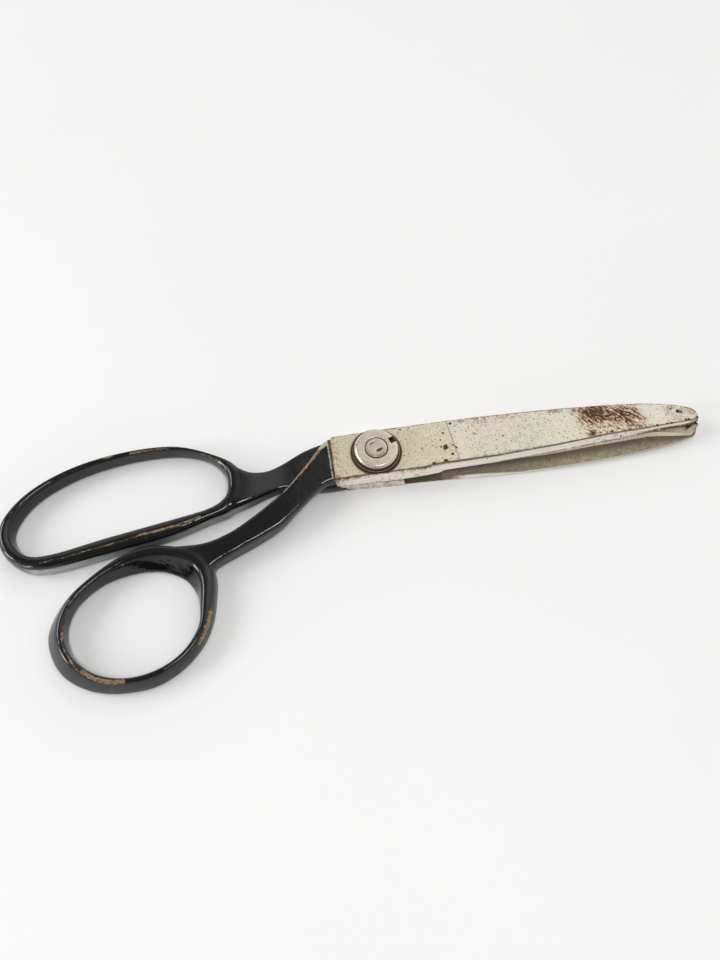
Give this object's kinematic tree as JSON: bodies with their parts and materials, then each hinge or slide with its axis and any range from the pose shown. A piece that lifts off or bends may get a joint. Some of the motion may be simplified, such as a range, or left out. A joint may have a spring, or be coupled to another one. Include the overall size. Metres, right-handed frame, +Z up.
{
  "type": "pinking shears",
  "caption": "Closed pinking shears with a short thumb bow, a long finger bow, meshing zigzag teeth and a round pivot nut.",
  "frame": {"origin": "where the pivot axis meets the plane of the finger half's flat underside, with the shears closed", "axes": "+X from the pivot towards the blade tips, +Y towards the back of the upper blade, +Z up, from the resting face to the nut"},
  "size_m": [0.232, 0.0788, 0.0119],
  "materials": {
    "black_enamel": "gloss black enamel, chipped to brown undercoat on the crests",
    "nickel": "worn satin nickel plate with rust spots"
  },
  "bodies": {
    "finger_half": {"finger_blade": "black_enamel", "pivot_screw": "nickel", "pivot_nut": "nickel", "tension_washer": "nickel"},
    "thumb_half": {"thumb_blade": "black_enamel"}
  },
  "joints": [
    {"name": "blade_pivot", "type": "hinge", "parent": "finger_half", "child": "thumb_half", "pos_m": [0, 0, 0.0044], "axis": [0, 0, 1], "range_deg": [0, 50]}
  ]
}
